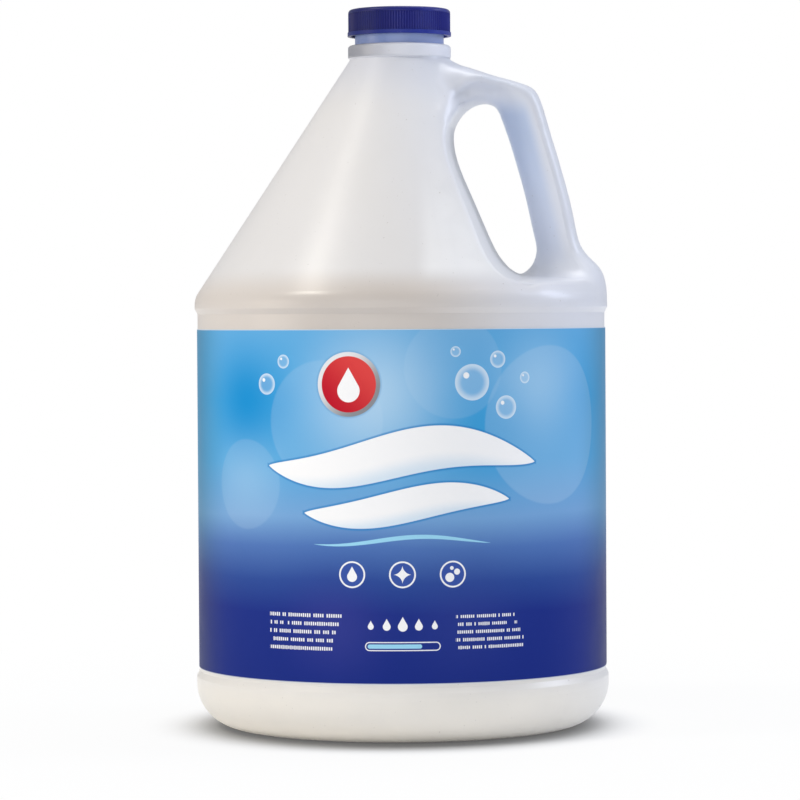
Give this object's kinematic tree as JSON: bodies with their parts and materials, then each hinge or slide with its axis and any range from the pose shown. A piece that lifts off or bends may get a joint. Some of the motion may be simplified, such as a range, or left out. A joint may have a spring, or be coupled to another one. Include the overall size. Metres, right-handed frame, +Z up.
{
  "type": "bleach bottle",
  "caption": "Round one-gallon blown plastic jug with a pinched hollow side handle, a cone shoulder, a ribbed screw cap and a wrap-around film label.",
  "frame": {"origin": "middle of the base, on the surface the bottle stands on", "axes": "+Z up the neck, +X towards the handle, -Y out of the front of the label"},
  "size_m": [0.1622, 0.1622, 0.281],
  "materials": {
    "bottle_plastic": "satin white blown polyethylene",
    "cap_plastic": "moulded navy polypropylene, slightly glossy",
    "liner_foam": "white closed-cell foam disc",
    "label_film": "glossy printed film, sky blue fading to navy"
  },
  "bodies": {
    "bottle": {"bottle": "bottle_plastic", "label": "label_film"},
    "liner": {"cap_liner": "liner_foam"},
    "cap": {"cap": "cap_plastic"}
  },
  "joints": [
    {"name": "cap_rise", "type": "slide", "parent": "bottle", "child": "liner", "axis": [0, 0, 1], "range_m": [0, 0.0127]},
    {"name": "cap_turn", "type": "hinge", "parent": "liner", "child": "cap", "pos_m": [0, 0, 0.2752], "axis": [0, 0, 1], "range_deg": [0, 1080]}
  ],
  "couplings": [
    {"joint": "cap_rise", "follows": "cap_turn", "m_per_rad": 0.0006737}
  ]
}
